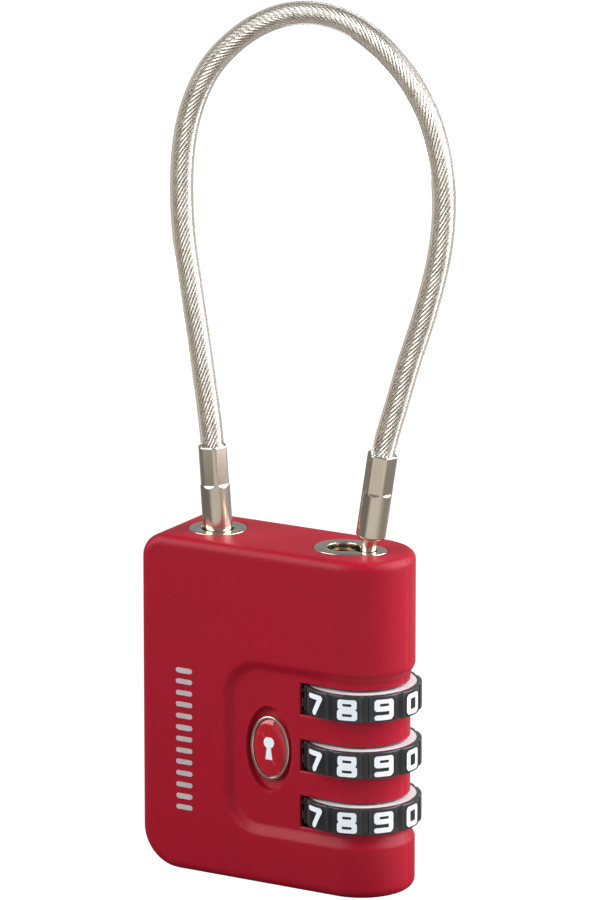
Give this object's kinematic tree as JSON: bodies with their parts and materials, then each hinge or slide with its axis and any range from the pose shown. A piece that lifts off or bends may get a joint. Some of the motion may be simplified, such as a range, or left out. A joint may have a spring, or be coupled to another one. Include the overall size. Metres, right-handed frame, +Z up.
{
  "type": "cable luggage lock",
  "caption": "Luggage lock with a stiff wire cable loop, a rounded plastic body, number dials and a sliding cable end.",
  "frame": {"origin": "centre of the lock's footprint at its flat base, dials included", "axes": "+Z up through the cable loop, +X towards the round dial end, -Y towards the face with the badge"},
  "size_m": [0.0396, 0.0146, 0.108],
  "materials": {
    "red_plastic": "satin moulded plastic with soft edges",
    "badge_red": "glossy domed emblem",
    "black_plastic": "glossy black moulding",
    "white_plastic": "glossy white moulding",
    "nickel": "warm nickel plating",
    "zinc": "die-cast, as cast",
    "steel": "plain steel",
    "brass": "machined brass",
    "rope_steel": "twisted bright wire",
    "clear_jacket": "clear soft PVC"
  },
  "bodies": {
    "root": {"front_shell": "red_plastic", "rear_shell": "red_plastic", "badge": "badge_red", "chassis": "zinc", "keyhole_plate": "nickel", "cable_bush": "nickel", "anchor_washer": "steel", "fixed_ferrule": "nickel", "cable_rope": "rope_steel", "cable_jacket": "clear_jacket", "spindle_spring": "steel", "detent_spring": "steel", "detent_rivets": "steel", "comb_spring": "steel", "cylinder_sleeve": "nickel"},
    "free_end": {"free_ferrule": "nickel", "locking_pin": "nickel"},
    "carriage": {"pin_carriage": "brass"},
    "comb": {"locking_comb": "steel"},
    "spindle": {"dial_spindle": "steel", "reset_button": "black_plastic", "retaining_ring": "steel"},
    "key_core": {"key_cylinder": "nickel", "cylinder_wafers": "brass", "cylinder_tail": "steel", "release_cam": "steel"},
    "dial_1": {"dial_ring_1": "black_plastic", "dial_core_1": "white_plastic"},
    "sleeve_1": {"code_sleeve_1": "brass"},
    "dial_2": {"dial_ring_2": "black_plastic", "dial_core_2": "white_plastic"},
    "sleeve_2": {"code_sleeve_2": "brass"},
    "dial_3": {"dial_ring_3": "black_plastic", "dial_core_3": "white_plastic"},
    "sleeve_3": {"code_sleeve_3": "brass"}
  },
  "joints": [
    {"name": "free_end_slide", "type": "slide", "parent": "root", "child": "free_end", "axis": [-1, 0, 0], "range_m": [0, 0.00355], "deforming": ["cable_jacket", "cable_rope"]},
    {"name": "carriage_slide", "type": "slide", "parent": "root", "child": "carriage", "axis": [-1, 0, 0], "range_m": [0, 0.00355]},
    {"name": "comb_slide", "type": "slide", "parent": "root", "child": "comb", "axis": [0, -1, 0], "range_m": [0, 0.0008], "deforming": ["comb_spring"]},
    {"name": "reset_push", "type": "slide", "parent": "root", "child": "spindle", "axis": [0, 0, 1], "range_m": [0, 0.0008], "stiffness_N_per_m": 900, "springref_m": -0.0004, "deforming": ["spindle_spring"]},
    {"name": "key_turn", "type": "hinge", "parent": "root", "child": "key_core", "pos_m": [-0.0056, 0, 0.004], "axis": [0, 0, -1], "range_deg": [0, 90]},
    {"name": "dial_1_turn", "type": "hinge", "parent": "root", "child": "dial_1", "pos_m": [0.01, 0, 0.0241], "axis": [0, 0, 1], "continuous": true},
    {"name": "sleeve_1_turn", "type": "hinge", "parent": "spindle", "child": "sleeve_1", "pos_m": [0.01, 0, 0.0241], "axis": [0, 0, 1], "continuous": true},
    {"name": "dial_2_turn", "type": "hinge", "parent": "root", "child": "dial_2", "pos_m": [0.01, 0, 0.01705], "axis": [0, 0, 1], "continuous": true},
    {"name": "sleeve_2_turn", "type": "hinge", "parent": "spindle", "child": "sleeve_2", "pos_m": [0.01, 0, 0.01705], "axis": [0, 0, 1], "continuous": true},
    {"name": "dial_3_turn", "type": "hinge", "parent": "root", "child": "dial_3", "pos_m": [0.01, 0, 0.01], "axis": [0, 0, 1], "continuous": true},
    {"name": "sleeve_3_turn", "type": "hinge", "parent": "spindle", "child": "sleeve_3", "pos_m": [0.01, 0, 0.01], "axis": [0, 0, 1], "continuous": true}
  ],
  "couplings": [
    {"joint": "carriage_slide", "follows": "free_end_slide", "ratio": 1},
    {"joint": "comb_slide", "follows": "free_end_slide", "ratio": 0.22535},
    {"joint": "sleeve_1_turn", "follows": "dial_1_turn", "ratio": 1},
    {"joint": "sleeve_2_turn", "follows": "dial_2_turn", "ratio": 1},
    {"joint": "sleeve_3_turn", "follows": "dial_3_turn", "ratio": 1}
  ]
}
